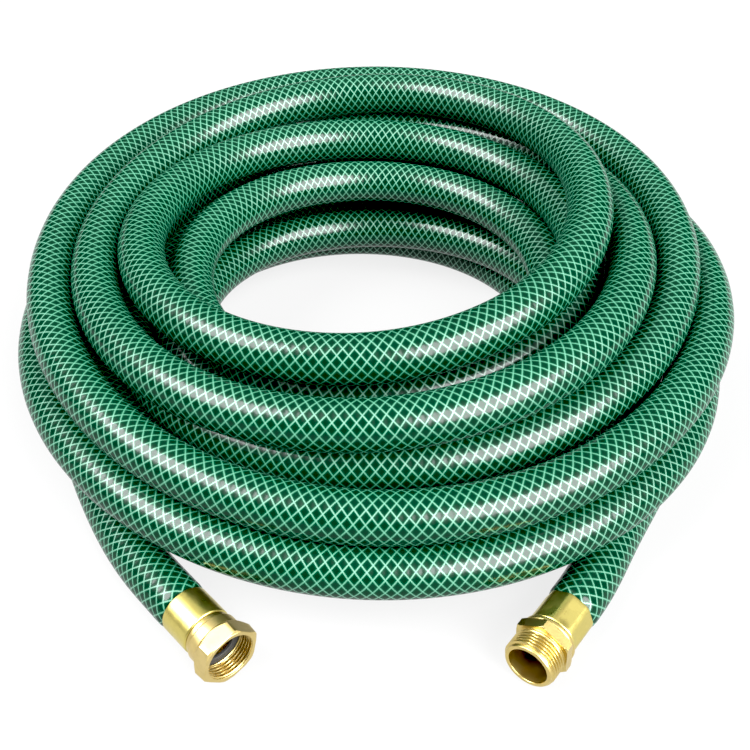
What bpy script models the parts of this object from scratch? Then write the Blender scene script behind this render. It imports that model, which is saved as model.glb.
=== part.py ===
"""A coiled reinforced garden hose with a brass coupling on each end.

The coil lies flat on the floor, with both ends running out from under it towards -Y.
Metres, +Z up. The origin is the bottom centre of the whole object's box.
"""
import math

import bmesh
import bpy
from mathutils import Vector

# Hose
HOSE_DIAMETER = 0.0330
HOSE_WALL = 0.0038
SEAM_GAP = 0.0003

# Coil, turned about its own upright axis. Each seat is one strand of the bundle's outside, as
# (out from the bore's wall, up from the floor) in hose widths, from the outer foot over the
# top to the inner foot.
COIL_BORE = 0.2410
COIL_SEATS = (
    (2.90, 0.00),
    (3.50, 1.10),
    (3.35, 2.25),
    (2.10, 3.10),
    (0.70, 3.50),
    (0.00, 2.30),
    (0.05, 1.05),
    (0.40, 0.00),
    (1.50, 0.00),
)
COIL_SEGMENTS = 56
GROOVE_ANGLE = math.radians(48)
STRAND_ARC_STEP = math.radians(28)

# Free ends of the hose, each from under the coil to its coupling
FEMALE_TAIL = (
    (-0.2119, -0.0979, 0.0167),
    (-0.1992, -0.1288, 0.0167),
    (-0.1845, -0.1601, 0.0167),
    (-0.1667, -0.1930, 0.0172),
    (-0.1443, -0.2266, 0.0186),
)
FEMALE_END = (-0.1159, -0.2601, 0.0200)
FEMALE_HEADING = math.radians(42.0)
FEMALE_ROLL = math.radians(15)
MALE_TAIL = (
    (0.2166, -0.0864, 0.0167),
    (0.2020, -0.1155, 0.0167),
    (0.1862, -0.1440, 0.0167),
    (0.1694, -0.1729, 0.0170),
    (0.1510, -0.2048, 0.0180),
)
MALE_END = (0.1162, -0.2614, 0.0196)
MALE_HEADING = math.radians(-36.6)
MALE_ROLL = math.radians(33.5)
TAIL_STRAIGHT = 0.016
TAIL_STEP = 0.016
SPAN_SAMPLES = 32
TAIL_RESOLUTION = 3
CHANNEL_SIDES = 20

# Stems, pushed into the hose's bore
SHANK_STRETCH = 0.0008
SHANK_WALL = 0.0018
SHANK_DIAMETER = HOSE_DIAMETER - 2 * HOSE_WALL + SHANK_STRETCH
SHANK_BORE = SHANK_DIAMETER - 2 * SHANK_WALL
RUNNING_GAP = 0.0003

# Ferrules, crimped over the hose and its stem
FERRULE_SQUEEZE = 0.0004
FERRULE_DIAMETER = HOSE_DIAMETER - 2 * FERRULE_SQUEEZE
FERRULE_LENGTH = 0.0238
FERRULE_RIM = 0.0006
CRIMP_FLATS = 8
CRIMP_DEPTH = 0.0007

# Pipe thread, just wide enough for the stem's flange to pass
FLANGE_GRIP = 0.0016
THREAD_PITCH = 0.0022
THREAD_DEPTH = 0.0013
THREAD_FLAT = 0.08
THREAD_CLEARANCE = 0.0002
FLANGE_DIAMETER = SHANK_DIAMETER + 2 * FLANGE_GRIP
THREAD_DIAMETER = FLANGE_DIAMETER + 2 * (RUNNING_GAP + THREAD_CLEARANCE + THREAD_DEPTH)

# Female coupling: a swivel nut, held between the stem's ring and its flange
RING_WALL = 0.0024
RING_DIAMETER = SHANK_DIAMETER + 2 * RING_WALL
RING_LENGTH = 0.0032
NUT_BACK = FERRULE_LENGTH + RUNNING_GAP + RING_LENGTH + RUNNING_GAP
NUT_WALL = 0.0013
NUT_COLLAR_WALL = 0.0019
NUT_LENGTH = 0.0198
NUT_ACROSS_FLATS = THREAD_DIAMETER + 2 * NUT_WALL
NUT_ROOM_DIAMETER = FLANGE_DIAMETER + 2 * RUNNING_GAP
NUT_COLLAR_DIAMETER = NUT_ROOM_DIAMETER + 2 * NUT_COLLAR_WALL
NUT_COLLAR_LENGTH = 0.0072
NUT_COLLAR_ROUND = 0.0012
NUT_SHOULDER_LENGTH = 0.0039
NUT_CHAMFER = 0.0009
NUT_LIP = 0.0028
NUT_MOUTH_CHAMFER = 0.0006
FLANGE_BACK = NUT_BACK + NUT_LIP + RUNNING_GAP
FLANGE_THICKNESS = 0.0022
WASHER_THICKNESS = 0.0024
WASHER_INSET = 0.0013
WASHER_BORE = SHANK_BORE - 2 * WASHER_INSET

# Male coupling: one turned piece
MALE_COLLAR_WALL = 0.0007
MALE_COLLAR_DIAMETER = THREAD_DIAMETER + 2 * MALE_COLLAR_WALL
MALE_COLLAR_LENGTH = 0.0034
MALE_HEX_WALL = 0.0003
MALE_HEX_LENGTH = 0.0068
MALE_ACROSS_FLATS = THREAD_DIAMETER + 2 * MALE_HEX_WALL
MALE_HEX_CHAMFER = 0.0006
MALE_NECK_LENGTH = 0.0016
MALE_THREAD_LENGTH = 0.0140
MALE_NOSE_CHAMFER = 0.0012
MALE_NOSE_WALL = 0.0026
MALE_NOSE_BORE = THREAD_DIAMETER - 2 * (THREAD_DEPTH + MALE_NOSE_WALL)
MALE_NOSE_DEPTH = 0.0210

ROUND_SEGMENTS = 36
SMOOTH_ANGLE = math.radians(35)


def clear_scene():
    for thing in list(bpy.data.objects):
        bpy.data.objects.remove(thing, do_unlink=True)


def make_material(name, colour, roughness, metallic):
    material = bpy.data.materials.new(name)
    material.use_nodes = True
    shader = material.node_tree.nodes["Principled BSDF"]
    shader.inputs["Base Color"].default_value = (*colour, 1.0)
    shader.inputs["Roughness"].default_value = roughness
    shader.inputs["Metallic"].default_value = metallic
    material.diffuse_color = (*colour, 1.0)
    return material


def add_object(name, data, material, parent=None):
    thing = bpy.data.objects.new(name, data)
    thing.data.materials.append(material)
    bpy.context.scene.collection.objects.link(thing)
    thing.parent = parent
    return thing


def add_empty(name, location, heading, parent):
    """An empty whose +Z points along the heading, level with the floor, with +Y up."""
    empty = bpy.data.objects.new(name, None)
    bpy.context.scene.collection.objects.link(empty)
    empty.location = location
    empty.rotation_euler = (math.radians(90), 0.0, heading)
    empty.parent = parent
    return empty


def ring_mesh(name, rings):
    """A closed mesh from a closed loop of rings, each a list of points around the axis."""
    mesh = bmesh.new()
    rows = [[mesh.verts.new(point) for point in ring] for ring in rings]
    around = len(rings[0])
    for row, following in zip(rows, rows[1:] + rows[:1]):
        for i in range(around):
            j = (i + 1) % around
            mesh.faces.new((row[i], row[j], following[j], following[i]))
    bmesh.ops.recalc_face_normals(mesh, faces=mesh.faces)
    data = bpy.data.meshes.new(name)
    mesh.to_mesh(data)
    mesh.free()
    data.shade_smooth()
    data.set_sharp_from_angle(angle=SMOOTH_ANGLE)
    return data


def make_ring(height, radius_at, segments=ROUND_SEGMENTS):
    """Points around the axis at one height. The radius is a number or a function of the angle."""
    points = []
    for i in range(segments):
        angle = 2 * math.pi * i / segments
        radius = radius_at(angle) if callable(radius_at) else radius_at
        points.append(Vector((radius * math.cos(angle), radius * math.sin(angle), height)))
    return points


def hexagon(across_flats, limit):
    """Radius of a hexagon with a corner at angle 0, its corners turned down to a limit."""
    def radius_at(angle):
        from_flat = (angle % math.radians(60)) - math.radians(30)
        return min(across_flats / 2 / math.cos(from_flat), limit)
    return radius_at


def crimped(diameter, flats, depth):
    """Radius of a round sleeve pressed to a number of shallow flats."""
    step = 2 * math.pi / flats

    def radius_at(angle):
        from_flat = ((angle + step / 2) % step) - step / 2
        return min(diameter / 2, (diameter / 2 - depth) / math.cos(from_flat))
    return radius_at


def thread_heights(start, end):
    """Heights and depths of a run of thread: (height, share of the full depth)."""
    turns = int((end - start) / THREAD_PITCH)
    spare = (end - start - turns * THREAD_PITCH) / 2
    run = [(start, 0.0)]
    for k in range(turns):
        low = start + spare + k * THREAD_PITCH
        run.append((low + THREAD_FLAT * THREAD_PITCH, 0.0))
        run.append((low + THREAD_PITCH / 2, 1.0))
        run.append((low + (1 - THREAD_FLAT) * THREAD_PITCH, 0.0))
    run.append((end, 0.0))
    return run


def direction_angle(start, end):
    return math.atan2(end[1] - start[1], end[0] - start[0])


def coil_profile():
    """The bundle's outline: an arc for each outer strand, with a groove between neighbours."""
    radius = HOSE_DIAMETER / 2
    inner = COIL_BORE / 2 + radius
    seats = [(inner + out * HOSE_DIAMETER, radius + up * HOSE_DIAMETER) for out, up in COIL_SEATS]
    count = len(seats)
    outline = []
    for i, seat in enumerate(seats):
        before = direction_angle(seats[i - 1], seat) + math.pi / 2
        after = direction_angle(seat, seats[(i + 1) % count]) + math.pi / 2
        sweep = ((after - before + math.pi) % (2 * math.pi)) - math.pi
        # the outline runs anticlockwise in (distance, height), so its outside is on the right
        start = before - math.pi - GROOVE_ANGLE
        sweep = sweep + 2 * GROOVE_ANGLE
        steps = max(2, round(abs(sweep) / STRAND_ARC_STEP))
        for k in range(steps + 1):
            angle = start + sweep * k / steps
            height = seat[1] + radius * math.sin(angle)
            outline.append((seat[0] + radius * math.cos(angle), max(0.0, height)))
    return outline


def smooth_points(route, step):
    """Evenly spaced points on a smooth curve through the route's own points.

    The route's last two points are a straight run, which the curve meets at its first.
    """
    knots = [Vector(point) for point in route]
    chain = [knots[0] * 2 - knots[1]] + knots
    dense = []
    for a, b, c, d in zip(chain, chain[1:], chain[2:], chain[3:]):
        for k in range(SPAN_SAMPLES):
            t = k / SPAN_SAMPLES
            dense.append(0.5 * (2 * b + (c - a) * t + (2 * a - 5 * b + 4 * c - d) * t * t
                                + (3 * b - 3 * c + d - a) * t ** 3))
    dense.append(knots[-2])
    lengths = [0.0]
    for a, b in zip(dense, dense[1:]):
        lengths.append(lengths[-1] + (b - a).length)
    count = round(lengths[-1] / step)
    points = []
    k = 0
    for i in range(count + 1):
        wanted = lengths[-1] * i / count
        while k < len(dense) - 2 and lengths[k + 1] < wanted:
            k += 1
        share = (wanted - lengths[k]) / (lengths[k + 1] - lengths[k])
        points.append(dense[k].lerp(dense[k + 1], min(1.0, share)))
    points.append(knots[-1])
    return points


def tail_route(points, end, heading):
    """The tail's points: its chosen ones, then straight into the back of its ferrule."""
    along = Vector((math.sin(heading), -math.cos(heading), 0.0))
    last = Vector(end) - along * SEAM_GAP
    return [Vector(point) for point in points] + [last - along * TAIL_STRAIGHT, last]


def tube_curve(name, points, diameter):
    curve = bpy.data.curves.new(name, "CURVE")
    curve.dimensions = "3D"
    curve.bevel_depth = diameter / 2
    curve.bevel_resolution = TAIL_RESOLUTION
    curve.use_fill_caps = True
    spline = curve.splines.new("POLY")
    spline.points.add(len(points) - 1)
    for target, point in zip(spline.points, points):
        target.co = (*point, 1.0)
    spline.use_smooth = True
    return curve


def make_tail(name, points, end, heading, material, parent):
    route = smooth_points(tail_route(points, end, heading), TAIL_STEP)
    return add_object(name, tube_curve(name, route, HOSE_DIAMETER), material, parent)


def channel_mesh(name, points, radius):
    """A closed tube for cutting, its ring of corners carried along the route without twist."""
    mesh = bmesh.new()
    rows = []
    along = (points[1] - points[0]).normalized()
    side = along.cross(Vector((0.0, 0.0, 1.0))).normalized()
    for i, point in enumerate(points):
        along = (points[min(i + 1, len(points) - 1)] - points[max(i - 1, 0)]).normalized()
        side = (side - along * side.dot(along)).normalized()
        other = along.cross(side)
        row = []
        for k in range(CHANNEL_SIDES):
            angle = 2 * math.pi * k / CHANNEL_SIDES
            row.append(mesh.verts.new(point + (side * math.cos(angle) + other * math.sin(angle)) * radius))
        rows.append(row)
    for row, following in zip(rows, rows[1:]):
        for k in range(CHANNEL_SIDES):
            j = (k + 1) % CHANNEL_SIDES
            mesh.faces.new((row[k], row[j], following[j], following[k]))
    mesh.faces.new(rows[0])
    mesh.faces.new(rows[-1])
    bmesh.ops.recalc_face_normals(mesh, faces=mesh.faces)
    data = bpy.data.meshes.new(name)
    mesh.to_mesh(data)
    mesh.free()
    return data


def make_channel(name, points, end, heading, material, parent):
    """The room that a tail takes under the coil, a seam's gap larger all round."""
    route = smooth_points(tail_route(points, end, heading), TAIL_STEP)
    first = route[0] + (route[0] - route[1]).normalized() * SEAM_GAP
    radius = (HOSE_DIAMETER / 2 + SEAM_GAP) / math.cos(math.pi / CHANNEL_SIDES)
    channel = add_object(name, channel_mesh(name, [first] + route[1:], radius), material, parent)
    channel.hide_render = True
    channel.display_type = "WIRE"
    return channel


def make_coil(channels, material, parent):
    rings = []
    for distance, height in coil_profile():
        rings.append(make_ring(height, distance, COIL_SEGMENTS))
    coil = add_object("hose_coil", ring_mesh("hose_coil", rings), material, parent)
    for channel in channels:
        cut = coil.modifiers.new(channel.name, "BOOLEAN")
        cut.operation = "DIFFERENCE"
        cut.object = channel
    return coil


def make_ferrule(name, radius_at, material, parent):
    """A sleeve with rounded rims, and a lip at its front that grips the stem."""
    bore = SHANK_DIAMETER / 2 + RUNNING_GAP
    rim = FERRULE_DIAMETER / 2 - FERRULE_RIM
    rings = [
        make_ring(0.0, bore),
        make_ring(0.0, rim),
        make_ring(FERRULE_RIM, radius_at),
        make_ring(FERRULE_LENGTH - FERRULE_RIM, radius_at),
        make_ring(FERRULE_LENGTH, rim),
        make_ring(FERRULE_LENGTH, bore),
    ]
    return add_object(name, ring_mesh(name, rings), material, parent)


def make_female_stem(material, parent):
    """A tube through the ferrule, with the ring and the flange that hold the nut."""
    shank = SHANK_DIAMETER / 2
    flange = FLANGE_DIAMETER / 2
    ring_back = FERRULE_LENGTH + RUNNING_GAP
    rings = [
        make_ring(SEAM_GAP, SHANK_BORE / 2),
        make_ring(SEAM_GAP, shank),
        make_ring(ring_back, shank),
        make_ring(ring_back, RING_DIAMETER / 2),
        make_ring(ring_back + RING_LENGTH, RING_DIAMETER / 2),
        make_ring(ring_back + RING_LENGTH, shank),
        make_ring(FLANGE_BACK, shank),
        make_ring(FLANGE_BACK, flange),
        make_ring(FLANGE_BACK + FLANGE_THICKNESS, flange),
        make_ring(FLANGE_BACK + FLANGE_THICKNESS, SHANK_BORE / 2),
    ]
    return add_object("female_stem", ring_mesh("female_stem", rings), material, parent)


def make_washer(material, parent):
    back = FLANGE_BACK + FLANGE_THICKNESS + SEAM_GAP
    outer = FLANGE_DIAMETER / 2
    rings = [
        make_ring(back, WASHER_BORE / 2),
        make_ring(back, outer),
        make_ring(back + WASHER_THICKNESS, outer),
        make_ring(back + WASHER_THICKNESS, WASHER_BORE / 2),
    ]
    return add_object("rubber_washer", ring_mesh("rubber_washer", rings), material, parent)


def flats_back(collar, corner):
    """Where the shoulder's cone, from the collar out to the corners, meets the middle of a flat."""
    share = (NUT_ACROSS_FLATS / 2 - collar) / (corner - collar)
    return NUT_COLLAR_LENGTH + share * NUT_SHOULDER_LENGTH


def make_nut(material, parent):
    """The swivel nut: round collar, hexagon and internal thread. Its origin is on its axis."""
    collar = NUT_COLLAR_DIAMETER / 2
    corner = NUT_ACROSS_FLATS / 2 / math.cos(math.radians(30))
    front = NUT_LENGTH
    shoulder = NUT_COLLAR_LENGTH + NUT_SHOULDER_LENGTH
    room = flats_back(collar, corner)
    crest = THREAD_DIAMETER / 2 - THREAD_DEPTH + THREAD_CLEARANCE - RUNNING_GAP
    root = THREAD_DIAMETER / 2 + THREAD_CLEARANCE
    rings = [
        make_ring(0.0, SHANK_DIAMETER / 2 + RUNNING_GAP),
        make_ring(0.0, collar - NUT_COLLAR_ROUND),
        make_ring(NUT_COLLAR_ROUND, collar),
        make_ring(NUT_COLLAR_LENGTH, collar),
        make_ring(room, hexagon(NUT_ACROSS_FLATS, NUT_ACROSS_FLATS / 2)),
        make_ring(shoulder, hexagon(NUT_ACROSS_FLATS, corner)),
        make_ring(front - NUT_CHAMFER, hexagon(NUT_ACROSS_FLATS, corner)),
        make_ring(front, hexagon(NUT_ACROSS_FLATS - NUT_CHAMFER, corner - NUT_CHAMFER)),
        make_ring(front, crest + NUT_MOUTH_CHAMFER),
    ]
    for height, share in reversed(thread_heights(room, front - NUT_MOUTH_CHAMFER)):
        rings.append(make_ring(height, crest + share * (root - crest)))
    rings.append(make_ring(room, NUT_ROOM_DIAMETER / 2))
    rings.append(make_ring(NUT_LIP, NUT_ROOM_DIAMETER / 2))
    rings.append(make_ring(NUT_LIP, SHANK_DIAMETER / 2 + RUNNING_GAP))
    nut = add_object("swivel_nut", ring_mesh("swivel_nut", rings), material, parent)
    nut.location = (0.0, 0.0, NUT_BACK)
    nut.rotation_euler = (0.0, 0.0, FEMALE_ROLL)
    return nut


def make_male_coupling(material, parent):
    """Shank, collar, hexagon, neck, external thread and bored nose, all one turned piece."""
    shank = SHANK_DIAMETER / 2
    collar = MALE_COLLAR_DIAMETER / 2
    corner = MALE_ACROSS_FLATS / 2 / math.cos(math.radians(30))
    crest = THREAD_DIAMETER / 2
    root = crest - THREAD_DEPTH
    back = FERRULE_LENGTH + RUNNING_GAP
    hex_back = back + MALE_COLLAR_LENGTH
    hex_front = hex_back + MALE_HEX_LENGTH
    thread_back = hex_front + MALE_NECK_LENGTH
    nose = thread_back + MALE_THREAD_LENGTH
    rings = [
        make_ring(SEAM_GAP, SHANK_BORE / 2),
        make_ring(SEAM_GAP, shank),
        make_ring(back, shank),
        make_ring(back, collar - MALE_HEX_CHAMFER),
        make_ring(back + MALE_HEX_CHAMFER, collar),
        make_ring(hex_back, collar),
        make_ring(hex_back, hexagon(MALE_ACROSS_FLATS, corner - MALE_HEX_CHAMFER)),
        make_ring(hex_back + MALE_HEX_CHAMFER, hexagon(MALE_ACROSS_FLATS, corner)),
        make_ring(hex_front - MALE_HEX_CHAMFER, hexagon(MALE_ACROSS_FLATS, corner)),
        make_ring(hex_front, hexagon(MALE_ACROSS_FLATS, corner - MALE_HEX_CHAMFER)),
        make_ring(hex_front, root),
    ]
    for height, share in thread_heights(thread_back, nose - MALE_NOSE_CHAMFER):
        rings.append(make_ring(height, crest - share * (crest - root)))
    rings += [
        make_ring(nose, root),
        make_ring(nose, MALE_NOSE_BORE / 2),
        make_ring(nose - MALE_NOSE_DEPTH, MALE_NOSE_BORE / 2),
        make_ring(nose - MALE_NOSE_DEPTH, SHANK_BORE / 2),
    ]
    coupling = add_object("male_coupling", ring_mesh("male_coupling", rings), material, parent)
    coupling.rotation_euler = (0.0, 0.0, MALE_ROLL)
    return coupling


def stand_on_origin(root):
    """Moves the whole object so that the bottom centre of its box is the world's origin."""
    bpy.context.view_layer.update()
    depsgraph = bpy.context.evaluated_depsgraph_get()
    corners = []
    for thing in bpy.context.scene.objects:
        if thing.type not in {"MESH", "CURVE"} or thing.hide_render:
            continue
        shown = thing.evaluated_get(depsgraph)
        mesh = shown.to_mesh()
        corners += [shown.matrix_world @ vertex.co for vertex in mesh.vertices]
        shown.to_mesh_clear()
    low = [min(corner[i] for corner in corners) for i in range(3)]
    high = [max(corner[i] for corner in corners) for i in range(3)]
    root.location = (-(low[0] + high[0]) / 2, -(low[1] + high[1]) / 2, -low[2])


def main():
    clear_scene()
    pvc = make_material("green_pvc", (0.010, 0.150, 0.070), 0.25, 0.0)
    brass = make_material("brass", (0.83, 0.62, 0.22), 0.25, 1.0)
    rubber = make_material("black_rubber", (0.02, 0.02, 0.02), 0.7, 0.0)
    root = bpy.data.objects.new("hose", None)
    bpy.context.scene.collection.objects.link(root)

    female = (FEMALE_TAIL, FEMALE_END, FEMALE_HEADING)
    male = (MALE_TAIL, MALE_END, MALE_HEADING)
    make_tail("hose_tail_female", *female, pvc, root)
    make_tail("hose_tail_male", *male, pvc, root)
    channels = [
        make_channel("channel_female", *female, pvc, root),
        make_channel("channel_male", *male, pvc, root),
    ]
    make_coil(channels, pvc, root)

    female_axis = add_empty("female_axis", FEMALE_END, FEMALE_HEADING, root)
    sleeve = crimped(FERRULE_DIAMETER, CRIMP_FLATS, CRIMP_DEPTH)
    make_ferrule("female_ferrule", FERRULE_DIAMETER / 2, brass, female_axis)
    make_female_stem(brass, female_axis)
    make_washer(rubber, female_axis)
    make_nut(brass, female_axis)

    male_axis = add_empty("male_axis", MALE_END, MALE_HEADING, root)
    make_ferrule("male_ferrule", sleeve, brass, male_axis)
    make_male_coupling(brass, male_axis)
    stand_on_origin(root)


main()
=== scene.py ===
"""A coil of braid-reinforced green water hose with a brass coupling on each end.

Metres, +Z up. The hose's route is given about the coil's own upright axis, as angles that run
clockwise seen from above: 0 at the front, 90 left, 180 back and 270 right.
"""
import itertools
import math

import bpy
import numpy as np
from mathutils import Matrix, Vector


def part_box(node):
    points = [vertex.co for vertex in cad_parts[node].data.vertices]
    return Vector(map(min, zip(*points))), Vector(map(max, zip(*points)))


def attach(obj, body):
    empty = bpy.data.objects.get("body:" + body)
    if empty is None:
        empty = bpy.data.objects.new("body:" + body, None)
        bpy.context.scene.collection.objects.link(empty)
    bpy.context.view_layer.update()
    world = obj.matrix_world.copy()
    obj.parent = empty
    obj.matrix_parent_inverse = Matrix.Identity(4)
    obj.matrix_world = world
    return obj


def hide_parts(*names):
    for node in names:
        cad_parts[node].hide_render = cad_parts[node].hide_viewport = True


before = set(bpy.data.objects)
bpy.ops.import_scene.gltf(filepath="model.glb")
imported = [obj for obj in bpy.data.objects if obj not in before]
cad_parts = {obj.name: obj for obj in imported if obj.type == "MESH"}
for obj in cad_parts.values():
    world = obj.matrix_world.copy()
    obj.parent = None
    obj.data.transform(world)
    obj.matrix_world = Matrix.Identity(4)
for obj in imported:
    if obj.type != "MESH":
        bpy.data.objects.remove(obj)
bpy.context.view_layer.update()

# Camera
CAMERA_ELEVATION = math.radians(39.55)
CAMERA_DISTANCE = 0.8283
CAMERA_TARGET = Vector((-0.0010, -0.0385, 0.0198))
CAMERA_LENS = 52.3

# Hose
HOSE_DIAMETER = 0.0330
RING_STEP = 0.0062
HOSE_SIDES = 30
HOSE_SHARP_ANGLE = 50

# Free ends, from under the coil to the couplings
FEMALE_TAIL = (
    (-0.2119, -0.0979, 0.0167),
    (-0.1992, -0.1288, 0.0167),
    (-0.1845, -0.1601, 0.0167),
    (-0.1667, -0.1930, 0.0172),
    (-0.1443, -0.2266, 0.0186),
)
FEMALE_END = (-0.1159, -0.2601, 0.0200)
FEMALE_HEADING = math.radians(42.0)
FEMALE_ROLL = math.radians(15)
MALE_TAIL = (
    (0.2166, -0.0864, 0.0167),
    (0.2020, -0.1155, 0.0167),
    (0.1862, -0.1440, 0.0167),
    (0.1694, -0.1729, 0.0170),
    (0.1510, -0.2048, 0.0180),
)
MALE_END = (0.1162, -0.2614, 0.0196)
MALE_HEADING = math.radians(-36.6)
MALE_ROLL = math.radians(33.5)
TAIL_STRAIGHT = 0.016

# The hose inside its ferrules: how far in it goes, and how it is squeezed there
HOSE_IN_FERRULE = 0.020
SQUEEZED_DIAMETER = 0.0298
SQUEEZE_BACK = 0.0050
HOSE_BORE = 0.0264
BORE_DEPTH = 0.070
END_RING_STEP = 0.0012
END_RINGS_FROM = 0.030

# The turns, from the female end to the male end. Each row is the hose's centre at the front,
# left, back and right, in millimetres, as (distance from the coil's axis, height).
FIRST_TURN = ((238, 17), (230, 17), (206, 17))
TURNS = (
    ((197, 18), (203, 17), (196, 18), (173, 18)),
    ((163, 17), (171, 21), (162, 17), (140, 17)),
    ((128, 20), (144, 40), (136, 42), (146, 51)),
    ((179, 48), (188, 48), (192, 54), (232, 51)),
    ((259, 53), (248, 60), (270, 58), (245, 83)),
    ((244, 82), (237, 101), (265, 115), (221, 105)),
    ((202, 83), (187, 83), (200, 102), (183, 121)),
    ((201, 116), (203, 112), (202, 136), (153, 143)),
    ((153, 128), (170, 120), (166, 111), (151, 108)),
    ((148, 92), (136, 96), (134, 89), (131, 82)),
    ((140, 58), (157, 71), (166, 74), (194, 68)),
    ((219, 55), (216, 67), (231, 56), (242, 20)),
)

# How the turns settle on each other, at stations this many degrees apart
STATION_STEP = 15
HELD_STATIONS = 2
SETTLE_ROUNDS = 160
FAR_AWAY = 9.0
PATH_STEP = 0.5

# Couplings, as the CAD has them
RUNNING_GAP = 0.0003
SHANK_DIAMETER = 0.0262
SHANK_BORE = 0.0226
FERRULE_DIAMETER = 0.0322
FERRULE_LENGTH = 0.0238
FERRULE_BORE = 0.0300
FERRULE_LIP = 0.0020
CRIMP_FLATS = 8
CRIMP_DEPTH = 0.0007
CRIMP_ROLL = math.radians(22.5)
THREAD_PITCH = 0.0022
THREAD_DIAMETER = 0.0330
THREAD_DEPTH = 0.0013
FLANGE_DIAMETER = 0.0294
RING_DIAMETER = 0.0310
RING_LENGTH = 0.0032
NUT_BACK = FERRULE_LENGTH + RUNNING_GAP + RING_LENGTH + RUNNING_GAP
NUT_LENGTH = 0.0198
NUT_ACROSS_FLATS = 0.0356
NUT_ACROSS_CORNERS = NUT_ACROSS_FLATS / math.cos(math.radians(30))
NUT_ROOM_DIAMETER = 0.0300
NUT_COLLAR_DIAMETER = 0.0338
NUT_COLLAR_LENGTH = 0.0072
NUT_SHOULDER_LENGTH = 0.0039
NUT_CHAMFER = 0.0009
NUT_LIP = 0.0028
FLANGE_BACK = NUT_BACK + NUT_LIP + RUNNING_GAP
FLANGE_THICKNESS = 0.0022
WASHER_THICKNESS = 0.0024
WASHER_BORE = 0.0200
MALE_COLLAR_DIAMETER = 0.0344
MALE_COLLAR_LENGTH = 0.0034
MALE_HEX_LENGTH = 0.0068
MALE_ACROSS_FLATS = 0.0336
MALE_NECK_LENGTH = 0.0016
MALE_THREAD_LENGTH = 0.0140
MALE_NOSE_BORE = 0.0252
MALE_NOSE_DEPTH = 0.0210

# Finer forms of the couplings: rounded edges, cones on the hexagons, and how the threads run out
EDGE_ROUND = 0.0004
COLLAR_ROUND = 0.0011
FERRULE_BACK_ROUND = 0.0009
FERRULE_FRONT_ROUND = 0.0014
CRIMP_FADE = 0.004
THREAD_WAVE = 0.62
THREAD_RUN_OUT = 0.6 * THREAD_PITCH
NUT_CREST_GAP = 0.0001
NUT_ROOT_GAP = 0.0002
NUT_CONE_INSET = 0.0002
NUT_CONE_SLOPE = 2.6
NUT_FACE_CHAMFER = 0.0003
MALE_CONE_REACH = 0.0014
MALE_CONE_SLOPE = 1.6
NECK_FILLET = 0.0005
THREAD_LEAD_IN = 0.0004
NOSE_PLAIN = 0.0014
NOSE_THREAD_END = 0.0012
NOSE_OUTER_ROUND = 0.0009
NOSE_INNER_ROUND = 0.0006

# How finely the turned pieces are divided, and the angles in degrees above which an edge is sharp
ROUND_SEGMENTS = 144
THREAD_ROWS_PER_TURN = 12
FERRULE_ROWS = 12
NUT_SHOULDER_ROWS = 16
NUT_CONE_ROWS = 5
MALE_HEX_ROWS = 28
SHARP_ANGLE = 32
THREADED_SHARP_ANGLE = 26

# Braid: yarns each way round the hose, and the run of one diamond along it. The two ways are given
# as (direction, offset), and a yarn's core and halo by where they start to fade and where they are
# gone, all in shares of the gap between yarns.
YARNS = 12
DIAMOND_RUN = 0.0067
YARN_WAYS = ((1.0, 0.0), (-1.0, 0.13))
YARN_CORE = (0.040, 0.110)
YARN_HALO = (0.06, 0.30)
YARN_DRIFT = 0.10
DRIFT_SCALE = 60.0
PATCH_SCALE = 14.0
PILLOW_HEIGHT = 0.00006

# Colours of the hose. Where there are two, patches of the hose lie between them.
DEEP_GREENS = ((0.0, 0.011, 0.0045), (0.0, 0.019, 0.0080))
HALO_GREEN = (0.0, 0.056, 0.025)
HALO_SHARE = 0.6
YARN_GREENS = ((0.008, 0.100, 0.052), (0.022, 0.150, 0.084))
CROSSING_GREEN = (0.07, 0.28, 0.18)
CROSSING_SHARE = 0.35

# Brass, as (colour, roughness), with its tarnish and its marks from the lathe. The tarnish is a
# noise: it darkens and roughens the brass from the first value of a fade to the second.
TURNED_BRASS = ((0.61, 0.48, 0.18), 0.30)
SATIN_BRASS = ((0.62, 0.49, 0.20), 0.36)
SLEEVE_BRASS = ((0.61, 0.52, 0.16), 0.30)
TARNISH = 0.86
TARNISH_SCALE = 130.0
DARKENING_FADE = (0.35, 0.70)
ROUGHENING_FADE = (0.3, 0.7)
SMOOTHER_BY = 0.03
ROUGHER_BY = 0.06
LATHE_SCALE = 5200.0
LATHE_DEPTH = 0.000006

# Rubber, as the two shades of its grain
RUBBER_SHADES = ((0.010, 0.010, 0.010), (0.030, 0.030, 0.030))
GRAIN_SCALE = 2500.0
GRAIN_DEPTH = 0.00005

# Floor
WHITE = (1.0, 1.0, 1.0)
FLOOR_SHADE = (0.06, 0.06, 0.06)
FLOOR_GLOW = 0.82
FLOOR_REACH = 4.0

# Light: azimuth clockwise from the back and angle from the vertical, in degrees, then for a softbox
# the angle across it and its radiance, and for a glow the angles where it is full and where it
# ends, and its radiance
SOFTBOXES = (
    ("left_softbox", 260, 40, 37, 17.5),
    ("right_softbox", 132, 54, 50, 17.5),
)
GLOWS = (
    (260, 40, 8, 36, 3.4),
    (132, 54, 10, 44, 3.4),
    (0, 18, 0, 60, 0.8),
    (265, 60, 10, 60, 0.3),
    (97, 60, 10, 60, 0.4),
)
SURROUNDINGS = 0.08
BLACK_LEVEL = 0.018


def coil_centre():
    """Where the coil's axis meets the floor."""
    low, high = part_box("hose_coil")
    return Vector(((low[0] + high[0]) / 2, (low[1] + high[1]) / 2, low[2]))


CENTRE = coil_centre()
ANGLES = 2 * np.pi * np.arange(ROUND_SEGMENTS) / ROUND_SEGMENTS


def link(thing):
    bpy.context.scene.collection.objects.link(thing)
    return thing


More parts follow.
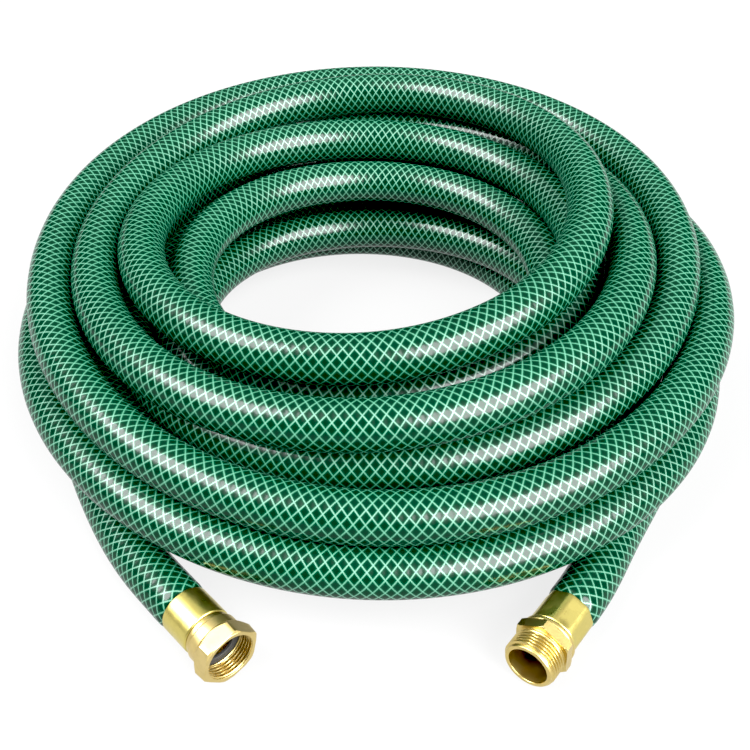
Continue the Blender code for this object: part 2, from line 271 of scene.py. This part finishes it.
def make_camera():
    camera = link(bpy.data.objects.new("camera", bpy.data.cameras.new("camera")))
    camera.data.lens = CAMERA_LENS
    back = Vector((0.0, -math.cos(CAMERA_ELEVATION), math.sin(CAMERA_ELEVATION)))
    camera.location = CENTRE + CAMERA_TARGET + back * CAMERA_DISTANCE
    camera.rotation_euler = (math.radians(90) - CAMERA_ELEVATION, 0.0, 0.0)
    bpy.context.scene.camera = camera


def heading_vector(heading):
    return Vector((math.sin(heading), -math.cos(heading), 0.0))


def as_polar(points, turns):
    """(angle in degrees, distance from the axis, height) of points given as x, y, z."""
    rows = []
    for x, y, z in points:
        angle = math.degrees(math.atan2(-x, -y)) % 360 + 360 * turns
        rows.append((angle, math.hypot(x, y), z))
    return rows


def tail_knots(points, end, heading, turns):
    """The tail's own points, and a straight run into its ferrule, in order of angle."""
    straight = [Vector(end) - heading_vector(heading) * TAIL_STRAIGHT, Vector(end)]
    return sorted(as_polar([*points, *straight], turns))


def turn_knots():
    """The seats of the wound turns, a quarter turn apart."""
    seats = [*FIRST_TURN, *itertools.chain(*TURNS)]
    return [(90.0 * (k + 1), distance / 1000, height / 1000) for k, (distance, height) in enumerate(seats)]


def spline(knots, values, at):
    """A natural cubic spline through the knots."""
    count = len(knots)
    gaps = np.diff(knots)
    slopes = np.diff(values) / gaps
    system = np.eye(count)
    right = np.zeros(count)
    for i in range(1, count - 1):
        system[i, i - 1:i + 2] = (gaps[i - 1], 2 * (gaps[i - 1] + gaps[i]), gaps[i])
        right[i] = 6 * (slopes[i] - slopes[i - 1])
    bend = np.linalg.solve(system, right)
    k = np.clip(np.searchsorted(knots, at) - 1, 0, count - 2)
    after = (at - knots[k]) / gaps[k]
    before = 1 - after
    curved = (before ** 3 - before) * bend[k] + (after ** 3 - after) * bend[k + 1]
    return before * values[k] + after * values[k + 1] + curved * gaps[k] ** 2 / 6


def route_at(knots, angles):
    """Distance from the axis and height of the route at the given angles."""
    return spline(knots[:, 0], knots[:, 1], angles), spline(knots[:, 0], knots[:, 2], angles)


def pushes(grid):
    """How far each station is pushed by the turns that it overlaps in its own upright section."""
    push = np.zeros_like(grid)
    for a, b in itertools.combinations(range(grid.shape[1]), 2):
        apart = grid[:, b] - grid[:, a]
        length = np.hypot(*apart)
        lack = np.maximum(0.0, HOSE_DIAMETER - length) / 2
        push[:, b] += apart / length * lack
        push[:, a] -= apart / length * lack
    return push


def settle(distance, height, free):
    """Pushes turns that touch apart, a little at a time, and keeps them on the floor.

    The stations are a fixed angle apart, so the same column of every row is one upright section.
    Spare stations, far from the rest, fill the last row.
    """
    columns = round(360 / STATION_STEP)
    rows = math.ceil(len(distance) / columns)
    spare = rows * columns - len(distance)
    spare_places = (np.full(spare, FAR_AWAY), np.arange(spare) + FAR_AWAY)
    place = np.concatenate([(distance, height), spare_places], axis=1)
    may_move = np.append(free, np.zeros(spare))
    for _ in range(SETTLE_ROUNDS):
        move = pushes(place.reshape(2, rows, columns)).reshape(2, -1) * may_move
        eased = move.copy()
        eased[:, 1:-1] = move[:, 1:-1] / 2 + move[:, :-2] / 4 + move[:, 2:] / 4
        place = place + eased * may_move
        place[1] = np.maximum(place[1], HOSE_DIAMETER / 2)
    return place[:, :len(distance)]


def wound_knots(first, last):
    """The wound turns between the two tails, settled on each other."""
    knots = np.array(first + turn_knots() + last)
    start = math.ceil(first[-1][0] / STATION_STEP) * STATION_STEP
    stop = math.floor(last[0][0] / STATION_STEP) * STATION_STEP
    stations = np.arange(start, stop + 1, STATION_STEP, dtype=float)
    free = np.ones(len(stations))
    free[:HELD_STATIONS] = free[-HELD_STATIONS:] = 0
    return np.stack([stations, *settle(*route_at(knots, stations), free)], axis=1)


def inside_ferrule(end, heading):
    return Vector(end) + heading_vector(heading) * HOSE_IN_FERRULE


def route_points():
    """Points along the hose's centre, from inside the female ferrule to inside the male one."""
    first = tail_knots(FEMALE_TAIL, FEMALE_END, FEMALE_HEADING, 0)
    last = tail_knots(MALE_TAIL, MALE_END, MALE_HEADING, len(TURNS))
    knots = np.concatenate([np.array(first), wound_knots(first, last), np.array(last)])
    angles = np.arange(knots[0, 0], knots[-1, 0], PATH_STEP)
    distance, height = route_at(knots, angles)
    turned = np.radians(angles)
    points = np.stack([-distance * np.sin(turned), -distance * np.cos(turned), height], axis=1)
    female = [inside_ferrule(FEMALE_END, FEMALE_HEADING), FEMALE_END]
    male = [MALE_END, inside_ferrule(MALE_END, MALE_HEADING)]
    return np.concatenate([female, points[1:], male])


def ring_places(length):
    """Distances along the hose of its rings, close together near both ends."""
    fine = round(END_RINGS_FROM / END_RING_STEP)
    first = np.linspace(0.0, END_RINGS_FROM, fine + 1)
    middle = np.linspace(END_RINGS_FROM, length - END_RINGS_FROM, round(length / RING_STEP))
    return np.concatenate([first, middle[1:-1], length - first[::-1]])


def hose_route():
    """The hose's centre at each ring, and the distance to it, from the female to the male end."""
    points = route_points()
    travelled = np.append(0.0, np.cumsum(np.linalg.norm(np.diff(points, axis=0), axis=1)))
    places = ring_places(travelled[-1])
    centres = np.stack([np.interp(places, travelled, points[:, i]) for i in range(3)], axis=1)
    return centres + np.array(CENTRE), places


def ring_radii(places):
    """The hose's radius at each ring: full, but squeezed where a ferrule holds it."""
    from_end = np.minimum(places, places[-1] - places)
    share = np.clip((from_end - HOSE_IN_FERRULE) / SQUEEZE_BACK, 0.0, 1.0)
    eased = np.sin(share * np.pi / 2)
    return (SQUEEZED_DIAMETER + (HOSE_DIAMETER - SQUEEZED_DIAMETER) * eased) / 2


def hose_rings(centres, places):
    """Direction, centre, radius and place of each ring: down one bore, over the hose, up the other."""
    along = np.gradient(centres, places, axis=0)
    along /= np.linalg.norm(along, axis=1)[:, None]
    deep = int(np.searchsorted(places, BORE_DEPTH))
    inner = list(range(deep, -1, -1))
    outer = list(range(len(places)))
    order = np.array(inner + outer + [len(places) - 1 - k for k in reversed(inner)])
    bore = np.full(len(inner), HOSE_BORE / 2)
    radii = np.concatenate([bore, ring_radii(places), bore])
    return along[order], centres[order], radii, places[order]


def ring_quads(bands, rings, sides):
    """Quads of the bands between rings, and each corner's ring and share of the way round it.

    With as many bands as rings, the last band joins the last ring to the first.
    """
    band, step = np.meshgrid(np.arange(bands), np.arange(sides), indexing="ij")
    near = band * sides
    far = (band + 1) % rings * sides
    following = (step + 1) % sides
    quads = np.stack([near + step, near + following, far + following, far + step], axis=-1)
    ring = np.stack([band, band, band + 1, band + 1], axis=-1)
    share = np.stack([step, step + 1, step + 1, step], axis=-1) / sides
    return quads.reshape(-1, 4).tolist(), ring.reshape(-1), share.reshape(-1)


def smooth_mesh(name, corners, faces, uv_name, uvs, sharp_angle):
    """A smoothly shaded mesh with a UV map. Faces past the end of the UVs are left at zero."""
    mesh = bpy.data.meshes.new(name)
    mesh.from_pydata(corners.tolist(), [], faces)
    layer = mesh.uv_layers.new(name=uv_name)
    filled = np.zeros((len(layer.data), 2))
    filled[:len(uvs)] = uvs
    layer.data.foreach_set("uv", filled.reshape(-1))
    mesh.shade_smooth()
    mesh.set_sharp_from_angle(angle=math.radians(sharp_angle))
    return mesh


def add_piece(name, data, material, body="hose"):
    piece = link(bpy.data.objects.new(name, data))
    piece.data.materials.append(material)
    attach(piece, body)
    return piece


def make_hose(material):
    """A tube along the route, with its length and its turn kept as a UV map for the braid."""
    path, path_places = hose_route()
    along, centres, radii, places = hose_rings(path, path_places)
    count = len(centres)
    side = np.cross(along, (0.0, 0.0, 1.0))
    side /= np.linalg.norm(side, axis=1)[:, None]
    above = np.cross(side, along)
    turned = 2 * np.pi * np.arange(HOSE_SIDES) / HOSE_SIDES
    circle = side[:, None] * np.cos(turned)[None, :, None] + above[:, None] * np.sin(turned)[None, :, None]
    corners = (centres[:, None] + circle * radii[:, None, None]).reshape(-1, 3)
    faces, ring, share = ring_quads(count - 1, count, HOSE_SIDES)
    faces.append(list(range(HOSE_SIDES - 1, -1, -1)))
    faces.append(list(range((count - 1) * HOSE_SIDES, count * HOSE_SIDES)))
    uvs = np.stack([places[ring], share], axis=1)
    mesh = smooth_mesh("braided_hose", corners, faces, "braid", uvs, HOSE_SHARP_ANGLE)
    hose = add_piece("braided_hose", mesh, material)
    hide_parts("hose_coil", "hose_tail_female", "hose_tail_male")
    return hose, path


def turned_piece(name, profile, material, axis, replaced, body="hose", sharp_angle=SHARP_ANGLE):
    """A closed turned solid. Each profile row is a height and a radius, or a radius for each angle.

    Its UV map holds the turn and the length along the profile, for the marks of the lathe.
    """
    rows = []
    for height, radius in profile:
        radius = np.broadcast_to(radius, ANGLES.shape)
        heights = np.full_like(ANGLES, height)
        rows.append(np.stack([radius * np.cos(ANGLES), radius * np.sin(ANGLES), heights], axis=1))
    steps = [np.linalg.norm(after[0] - before[0]) for before, after in zip(rows, rows[1:] + rows[:1])]
    travelled = np.append(0.0, np.cumsum(steps))
    turn = np.array(axis.to_3x3())
    corners = np.concatenate(rows) @ turn.T + np.array(axis.translation)
    faces, ring, share = ring_quads(len(rows), len(rows), ROUND_SEGMENTS)
    uvs = np.stack([share, travelled[ring]], axis=1)
    mesh = smooth_mesh(name, corners, faces, "lathe", uvs, sharp_angle)
    piece = add_piece(name, mesh, material, body)
    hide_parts(replaced)
    return piece


def between(start, end, steps):
    """Evenly spaced values from start to end, with both of them."""
    return [start + (end - start) * k / steps for k in range(steps + 1)]


def arc(height, radius, size, start, end, steps):
    """Profile rows on an arc of the given size about a height and radius.

    Its angles are in degrees and run from +height towards +radius.
    """
    rows = []
    for angle in between(start, end, steps):
        turned = math.radians(angle)
        rows.append((height + size * math.cos(turned), radius + size * math.sin(turned)))
    return rows


def hexagon(across_flats):
    """Radius of a hexagon at each angle, with a corner at angle 0."""
    from_flat = ANGLES % math.radians(60) - math.radians(30)
    return across_flats / 2 / np.cos(from_flat)


def hex_rows(across_flats, start, end, cone_at, steps):
    """Rows of a hexagon that a cone turns down: cone_at gives its radius at a height."""
    flats = hexagon(across_flats)
    return [(height, np.minimum(flats, cone_at(height))) for height in between(start, end, steps)]


def thread_radius(height, base, depth, start, end):
    """Radius at each angle of a right-handed helical thread that runs out at its start and end."""
    turns = height / THREAD_PITCH - ANGLES / (2 * np.pi)
    wave = 0.5 + THREAD_WAVE * np.cos(2 * np.pi * turns)
    run_in = np.clip((height - start) / THREAD_RUN_OUT, 0.0, 1.0)
    run_out = np.clip((end - height) / THREAD_RUN_OUT, 0.0, 1.0)
    return base + depth * np.clip(wave, 0.0, 1.0) * run_in * run_out


def thread_rows(base, depth, start, end, first_row, last_row):
    """Profile rows of a thread, from one height to another."""
    steps = round(abs(last_row - first_row) / THREAD_PITCH * THREAD_ROWS_PER_TURN)
    rows = []
    for height in between(first_row, last_row, steps):
        rows.append((height, thread_radius(height, base, depth, start, end)))
    return rows


def coupling_axis(end, heading, roll):
    """A coupling's own frame: +Z out along its axis, from where its ferrule starts."""
    turn = Matrix.Rotation(heading, 4, "Z") @ Matrix.Rotation(math.radians(90), 4, "X")
    return Matrix.Translation(CENTRE + Vector(end)) @ turn @ Matrix.Rotation(roll, 4, "Z")


def smooth_shape(height):
    """Outer radius of a plain ferrule."""
    return np.full_like(ANGLES, FERRULE_DIAMETER / 2)


def crimped_shape(height):
    """Outer radius with shallow flats and soft ridges between them, fading out towards the front."""
    outer = FERRULE_DIAMETER / 2
    step = 2 * np.pi / CRIMP_FLATS
    from_flat = (ANGLES + step / 2) % step - step / 2
    flat = (outer - CRIMP_DEPTH) / np.cos(from_flat)
    ease = min(1.0, (FERRULE_LENGTH - height) / CRIMP_FADE)
    return outer + (np.minimum(outer, flat) - outer) * ease


def make_ferrule(name, shape, brass, axis, replaced):
    """A thin sleeve over the hose, with a rolled back rim and a lip in front."""
    bore = FERRULE_BORE / 2
    lip = SHANK_DIAMETER / 2 + RUNNING_GAP
    back = FERRULE_BACK_ROUND
    front = FERRULE_LENGTH - FERRULE_FRONT_ROUND
    rows = [(EDGE_ROUND, bore)]
    for height, inset in arc(back, -back, back, 180, 90, 6):
        rows.append((height, shape(0.0) + inset))
    for height in between(back, front, FERRULE_ROWS)[1:-1]:
        rows.append((height, shape(height)))
    for height, inset in arc(front, -FERRULE_FRONT_ROUND, FERRULE_FRONT_ROUND, 90, 0, 7):
        rows.append((height, shape(height) + inset))
    rows += [
        (FERRULE_LENGTH, lip + EDGE_ROUND),
        (FERRULE_LENGTH - EDGE_ROUND, lip),
        (FERRULE_LENGTH - FERRULE_LIP, lip),
        (FERRULE_LENGTH - FERRULE_LIP, bore),
    ]
    return turned_piece(name, rows, brass, axis, replaced)


def make_stem(brass, axis):
    """The tube inside the ferrule, with the ring and the flange that hold the nut."""
    ring_back = FERRULE_LENGTH + RUNNING_GAP
    ring_front = ring_back + RING_LENGTH
    front = FLANGE_BACK + FLANGE_THICKNESS
    shank = SHANK_DIAMETER / 2
    bore = SHANK_BORE / 2
    ring = RING_DIAMETER / 2
    flange = FLANGE_DIAMETER / 2
    rows = [(RUNNING_GAP, bore), (RUNNING_GAP, shank), (ring_back, shank)]
    rows += arc(ring_back + EDGE_ROUND, ring - EDGE_ROUND, EDGE_ROUND, 180, 90, 4)
    rows += arc(ring_front - EDGE_ROUND, ring - EDGE_ROUND, EDGE_ROUND, 90, 0, 4)
    rows += [(ring_front, shank), (FLANGE_BACK, shank), (FLANGE_BACK, flange)]
    rows += arc(front - EDGE_ROUND, flange - EDGE_ROUND, EDGE_ROUND, 90, 0, 4)
    rows += arc(front - EDGE_ROUND, bore + EDGE_ROUND, EDGE_ROUND, 360, 270, 4)
    return turned_piece("flanged_stem", rows, brass, axis, "female_stem")


def make_washer(rubber, axis):
    """A flat rubber ring with rounded edges, in front of the flange."""
    back = FLANGE_BACK + FLANGE_THICKNESS + RUNNING_GAP
    front = back + WASHER_THICKNESS
    outer = FLANGE_DIAMETER / 2
    bore = WASHER_BORE / 2
    rows = arc(back + EDGE_ROUND, outer - EDGE_ROUND, EDGE_ROUND, 180, 90, 3)
    rows += arc(front - EDGE_ROUND, outer - EDGE_ROUND, EDGE_ROUND, 90, 0, 3)
    rows += arc(front - EDGE_ROUND, bore + EDGE_ROUND, EDGE_ROUND, 360, 270, 3)
    rows += arc(back + EDGE_ROUND, bore + EDGE_ROUND, EDGE_ROUND, 270, 180, 3)
    return turned_piece("sealing_washer", rows, rubber, axis, "rubber_washer")


def nut_outside():
    """Rows of the nut's round collar, its shoulder and its hexagon, from back to front."""
    collar = NUT_COLLAR_DIAMETER / 2
    corner = NUT_ACROSS_CORNERS / 2
    hex_back = NUT_COLLAR_LENGTH + NUT_SHOULDER_LENGTH
    chamfer_back = NUT_LENGTH - NUT_CHAMFER
    face_back = NUT_LENGTH - NUT_FACE_CHAMFER

    def shoulder_cone(height):
        return collar + (corner - collar) * (height - NUT_COLLAR_LENGTH) / NUT_SHOULDER_LENGTH

    def front_cone(height):
        return NUT_ACROSS_FLATS / 2 - NUT_CONE_INSET + (NUT_LENGTH - height) * NUT_CONE_SLOPE

    rows = arc(COLLAR_ROUND, collar - COLLAR_ROUND, COLLAR_ROUND, 180, 90, 6)
    rows += hex_rows(NUT_ACROSS_FLATS, NUT_COLLAR_LENGTH, hex_back, shoulder_cone, NUT_SHOULDER_ROWS)
    rows += hex_rows(NUT_ACROSS_FLATS, chamfer_back, face_back, front_cone, NUT_CONE_ROWS)
    rows.append((NUT_LENGTH, rows[-1][1] - NUT_FACE_CHAMFER))
    return rows


def nut_inside():
    """Rows of the nut's thread and of the room for the flange and washer, from front to back."""
    corners_out = NUT_ACROSS_CORNERS - NUT_COLLAR_DIAMETER
    flats_out = NUT_ACROSS_FLATS - NUT_COLLAR_DIAMETER
    room = NUT_COLLAR_LENGTH + NUT_SHOULDER_LENGTH * flats_out / corners_out
    crest = THREAD_DIAMETER / 2 - THREAD_DEPTH - NUT_CREST_GAP
    root = THREAD_DIAMETER / 2 + NUT_ROOT_GAP
    mouth = NUT_LENGTH - EDGE_ROUND
    rows = arc(mouth, crest + 2 * EDGE_ROUND, EDGE_ROUND, 360, 270, 4)
    rows += thread_rows(crest, root - crest, room, mouth, mouth - EDGE_ROUND, room)
    rows += [(room, NUT_ROOM_DIAMETER / 2), (NUT_LIP, NUT_ROOM_DIAMETER / 2)]
    return rows


def make_nut(brass, axis):
    """The swivel nut, on its own body."""
    inner = SHANK_DIAMETER / 2 + RUNNING_GAP
    rows = [(0.0, inner), *nut_outside(), *nut_inside(), (NUT_LIP, inner)]
    placed = axis @ Matrix.Translation((0.0, 0.0, NUT_BACK))
    return turned_piece("threaded_swivel_nut", rows, brass, placed, "swivel_nut",
                        body="nut", sharp_angle=THREADED_SHARP_ANGLE)


def make_male_fitting(brass, axis):
    """Shank, collar, thin hexagon, neck, external thread and bored nose."""
    shank = SHANK_DIAMETER / 2
    bore = SHANK_BORE / 2
    collar = MALE_COLLAR_DIAMETER / 2
    root = THREAD_DIAMETER / 2 - THREAD_DEPTH
    nose_bore = MALE_NOSE_BORE / 2
    back = FERRULE_LENGTH + RUNNING_GAP
    hex_back = back + MALE_COLLAR_LENGTH
    hex_front = hex_back + MALE_HEX_LENGTH
    thread_back = hex_front + MALE_NECK_LENGTH
    nose = thread_back + MALE_THREAD_LENGTH

    def cones(height):
        from_face = min(height - hex_back, hex_front - height)
        return MALE_ACROSS_FLATS / 2 + MALE_CONE_REACH + MALE_CONE_SLOPE * from_face

    rows = [(RUNNING_GAP, bore), (RUNNING_GAP, shank), (back, shank)]
    rows += arc(back + COLLAR_ROUND, collar - COLLAR_ROUND, COLLAR_ROUND, 180, 90, 5)
    rows += arc(hex_back - COLLAR_ROUND, collar - COLLAR_ROUND, COLLAR_ROUND, 90, 40, 4)
    rows += hex_rows(MALE_ACROSS_FLATS, hex_back, hex_front, cones, MALE_HEX_ROWS)
    rows += arc(hex_front + NECK_FILLET, root + NECK_FILLET, NECK_FILLET, 180, 270, 3)
    rows += thread_rows(root, THREAD_DEPTH, thread_back - THREAD_LEAD_IN, nose - NOSE_THREAD_END,
                        thread_back, nose - NOSE_PLAIN)
    rows += arc(nose - NOSE_OUTER_ROUND, root - NOSE_OUTER_ROUND, NOSE_OUTER_ROUND, 90, 0, 6)
    rows += arc(nose - NOSE_INNER_ROUND, nose_bore + NOSE_INNER_ROUND, NOSE_INNER_ROUND, 360, 270, 5)
    rows += [(nose - MALE_NOSE_DEPTH, nose_bore), (nose - MALE_NOSE_DEPTH, bore)]
    return turned_piece("threaded_male_fitting", rows, brass, axis, "male_coupling",
                        sharp_angle=THREADED_SHARP_ANGLE)


class Graph:
    """The node tree of a material or world, with short calls for the nodes that they share."""

    def __init__(self, owner):
        owner.use_nodes = True
        self.owner = owner
        self.tree = owner.node_tree

    def node(self, kind):
        return self.tree.nodes.new("ShaderNode" + kind)

    def put(self, socket, value):
        """Links a socket, or sets it. A colour of three numbers gets full opacity."""
        if isinstance(value, bpy.types.NodeSocket):
            self.tree.links.new(value, socket)
        elif isinstance(value, tuple) and len(value) == 3 and len(socket.default_value) == 4:
            socket.default_value = (*value, 1.0)
        else:
            socket.default_value = value

    def maths(self, operation, *values):
        node = self.node("Math")
        node.operation = operation
        for socket, value in zip(node.inputs, values):
            self.put(socket, value)
        return node.outputs[0]

    def fade(self, value, start, end, low=0.0, high=1.0):
        """A smooth change from low, where the value is at start, to high, where it is at end."""
        node = self.node("MapRange")
        node.interpolation_type = "SMOOTHSTEP"
        for name, given in (("Value", value), ("From Min", start), ("From Max", end),
                            ("To Min", low), ("To Max", high)):
            self.put(node.inputs[name], given)
        return node.outputs["Result"]

    def mix(self, share, first, second):
        """A colour between two. The colour sockets come after those for numbers and vectors."""
        node = self.node("Mix")
        node.data_type = "RGBA"
        self.put(node.inputs["Factor"], share)
        self.put(node.inputs[6], first)
        self.put(node.inputs[7], second)
        return node.outputs[2]

    def noise(self, vector, scale, detail=2.0):
        node = self.node("TexNoise")
        self.put(node.inputs["Vector"], vector)
        self.put(node.inputs["Scale"], scale)
        self.put(node.inputs["Detail"], detail)
        return node.outputs["Fac"]

    def stretched(self, vector, scale):
        node = self.node("Mapping")
        self.put(node.inputs["Vector"], vector)
        self.put(node.inputs["Scale"], scale)
        return node.outputs["Vector"]

    def place(self):
        return self.node("TexCoord").outputs["Object"]

    def uv(self, name):
        node = self.node("UVMap")
        node.uv_map = name
        return node.outputs[0]

    def bump(self, height, distance):
        node = self.node("Bump")
        self.put(node.inputs["Distance"], distance)
        self.put(node.inputs["Height"], height)
        return node.outputs["Normal"]

    def surface(self, **sockets):
        """Fills the shader's sockets, with _ for a space in their names, and gives the material."""
        shader = self.tree.nodes["Principled BSDF"]
        for name, value in sockets.items():
            self.put(shader.inputs[name.replace("_", " ")], value)
        return self.owner


def new_material(name):
    return Graph(bpy.data.materials.new(name))


def yarn_distances(g, place):
    """How far a point is from the nearest yarn of each way, with the yarns drifting a little."""
    split = g.node("SeparateXYZ")
    g.put(split.inputs[0], g.uv("braid"))
    around = g.maths("MULTIPLY", split.outputs[1], float(YARNS))
    along = g.maths("DIVIDE", split.outputs[0], DIAMOND_RUN)
    drift = g.maths("SUBTRACT", g.noise(place, DRIFT_SCALE), 0.5)
    drift = g.maths("MULTIPLY", drift, YARN_DRIFT)
    distances = []
    for direction, offset in YARN_WAYS:
        phase = g.maths("ADD", around, g.maths("MULTIPLY", along, direction))
        phase = g.maths("ADD", phase, g.maths("MULTIPLY_ADD", drift, direction, offset))
        distances.append(g.maths("PINGPONG", phase, 0.5))
    return distances


def braid_material():
    """Clear green PVC over a dark core, with two families of pale yarns crossing in it."""
    g = new_material("braided_pvc")
    place = g.place()
    distances = yarn_distances(g, place)
    cores = [g.fade(distance, *YARN_CORE, 1.0, 0.0) for distance in distances]
    halos = [g.fade(distance, *YARN_HALO, 1.0, 0.0) for distance in distances]
    yarn = g.maths("MAXIMUM", *cores)
    crossing = g.maths("MULTIPLY", g.maths("MULTIPLY", *cores), CROSSING_SHARE)
    halo = g.maths("MULTIPLY", g.maths("MAXIMUM", *halos), HALO_SHARE)
    patchy = g.noise(place, PATCH_SCALE, 3.0)
    body = g.mix(halo, g.mix(patchy, *DEEP_GREENS), HALO_GREEN)
    colour = g.mix(yarn, body, g.mix(patchy, *YARN_GREENS))
    colour = g.mix(crossing, colour, CROSSING_GREEN)
    pillow = g.maths("MULTIPLY", *[g.fade(distance, 0.0, 0.5) for distance in distances])
    normal = g.bump(pillow, PILLOW_HEIGHT)
    # Without its link, the core keeps no gloss of its own under the coat
    g.surface(Specular_IOR_Level=0.0)
    return g.surface(Base_Color=colour, Normal=normal, Roughness=0.58, IOR=1.55, Specular_IOR_Level=yarn,
                     Coat_Weight=0.58, Coat_Roughness=0.17, Coat_IOR=1.45, Coat_Normal=normal)


def brass_material(name, shade, roughness):
    """Bright turned brass, with fine rings from the lathe and a little tarnish."""
    g = new_material(name)
    cloud = g.noise(g.place(), TARNISH_SCALE, 4.0)
    rings = g.noise(g.stretched(g.uv("lathe"), (0.0, LATHE_SCALE, 0.0)), 1.0, 3.0)
    tarnished = tuple(TARNISH * c for c in shade)
    colour = g.mix(g.fade(cloud, *DARKENING_FADE), shade, tarnished)
    rough = g.fade(cloud, *ROUGHENING_FADE, roughness - SMOOTHER_BY, roughness + ROUGHER_BY)
    return g.surface(Base_Color=colour, Metallic=1.0, Roughness=rough, Normal=g.bump(rings, LATHE_DEPTH))


def rubber_material():
    """Plain black rubber with a fine grain."""
    g = new_material("washer_rubber")
    grain = g.noise(g.place(), GRAIN_SCALE, 4.0)
    colour = g.mix(grain, *RUBBER_SHADES)
    return g.surface(Base_Color=colour, Roughness=0.62, Normal=g.bump(grain, GRAIN_DEPTH))


def floor_material():
    """A pale floor that is bright enough by itself to look white."""
    g = new_material("studio_floor")
    return g.surface(Base_Color=FLOOR_SHADE, Roughness=0.9, Specular_IOR_Level=0.0,
                     Emission_Color=WHITE, Emission_Strength=FLOOR_GLOW)


def make_couplings():
    """The six pieces of the two couplings."""
    turned = brass_material("turned_brass", *TURNED_BRASS)
    satin = brass_material("satin_brass", *SATIN_BRASS)
    sleeve = brass_material("sleeve_brass", *SLEEVE_BRASS)
    rubber = rubber_material()
    female = coupling_axis(FEMALE_END, FEMALE_HEADING, FEMALE_ROLL)
    male = coupling_axis(MALE_END, MALE_HEADING, MALE_ROLL)
    crimped = coupling_axis(MALE_END, MALE_HEADING, CRIMP_ROLL)
    return [
        make_ferrule("smooth_ferrule", smooth_shape, sleeve, female, "female_ferrule"),
        make_stem(turned, female),
        make_washer(rubber, female),
        make_nut(satin, female),
        make_ferrule("crimped_ferrule", crimped_shape, sleeve, crimped, "male_ferrule"),
        make_male_fitting(turned, male),
    ]


def make_floor():
    mesh = bpy.data.meshes.new("studio_floor")
    corners = [(x * FLOOR_REACH, y * FLOOR_REACH, 0.0) for x, y in ((-1, -1), (1, -1), (1, 1), (-1, 1))]
    mesh.from_pydata(corners, [], [(0, 1, 2, 3)])
    floor = link(bpy.data.objects.new("studio_floor", mesh))
    floor.data.materials.append(floor_material())


def light_direction(azimuth, from_vertical):
    """Unit vector towards a light: azimuth is clockwise from the back, seen from above."""
    turn = math.radians(azimuth)
    tilt = math.radians(from_vertical)
    return Vector((math.sin(turn) * math.sin(tilt), math.cos(turn) * math.sin(tilt), math.cos(tilt)))


def make_softbox(name, azimuth, from_vertical, spread, radiance):
    """A far, round light of even brightness. Spread is the angle across it."""
    data = bpy.data.lights.new(name, "SUN")
    data.angle = math.radians(spread)
    data.energy = radiance * math.pi * math.sin(data.angle / 2) ** 2
    light = link(bpy.data.objects.new(name, data))
    light.rotation_euler = light_direction(azimuth, from_vertical).to_track_quat("Z", "Y").to_euler()


def make_world():
    """Dim surroundings with wide soft glows in them, as a studio's walls and ceiling have."""
    g = Graph(bpy.data.worlds.new("studio"))
    direction = g.node("TexCoord").outputs["Generated"]
    total = SURROUNDINGS
    for azimuth, from_vertical, inner, outer, radiance in GLOWS:
        towards = g.node("VectorMath")
        towards.operation = "DOT_PRODUCT"
        g.put(towards.inputs[0], direction)
        g.put(towards.inputs[1], light_direction(azimuth, from_vertical))
        start = math.cos(math.radians(outer))
        end = math.cos(math.radians(inner))
        glow = g.fade(towards.outputs["Value"], start, end, 0.0, radiance)
        total = g.maths("ADD", glow, total)
    background = g.tree.nodes["Background"]
    g.put(background.inputs["Color"], WHITE)
    g.put(background.inputs["Strength"], total)
    bpy.context.scene.world = g.owner


def set_view():
    """Plain colours, with the darkest tones drawn down to black as in the photo."""
    view = bpy.context.scene.view_settings
    view.view_transform = "Standard"
    view.use_curve_mapping = True
    view.curve_mapping.black_level = (BLACK_LEVEL, BLACK_LEVEL, BLACK_LEVEL)
    view.curve_mapping.update()


def main():
    make_camera()
    hose, path = make_hose(braid_material())
    on_cord = make_couplings()
    make_floor()
    make_world()
    for box in SOFTBOXES:
        make_softbox(*box)
    set_view()


main()
